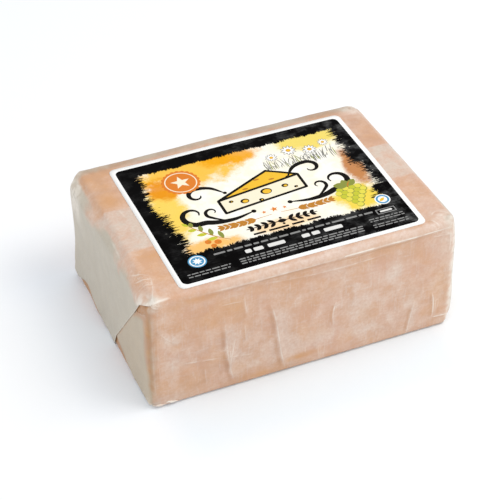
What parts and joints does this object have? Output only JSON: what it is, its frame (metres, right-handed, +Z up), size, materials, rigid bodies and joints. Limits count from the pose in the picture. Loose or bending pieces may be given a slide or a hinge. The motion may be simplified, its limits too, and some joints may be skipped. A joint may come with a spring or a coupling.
{
  "type": "mamirolle cheese",
  "caption": "Whole rectangular block of washed-rind cheese, shut in translucent waxed paper folded over at the ends, with a large rounded label on top.",
  "frame": {"origin": "centre of the base, on the surface that the block rests on", "axes": "+X along the length, -Y towards the front long side, +Z up through the label"},
  "size_m": [0.2027, 0.1406, 0.0839],
  "materials": {
    "waxed_paper": "translucent waxed paper clinging to an orange-tan rind, paler where it stands off",
    "label_print": "satin printed sticker, near black with a white border and golden-yellow fields"
  },
  "bodies": {
    "root": {"wrapped_cheese": "waxed_paper", "label": "label_print"}
  },
  "joints": []
}
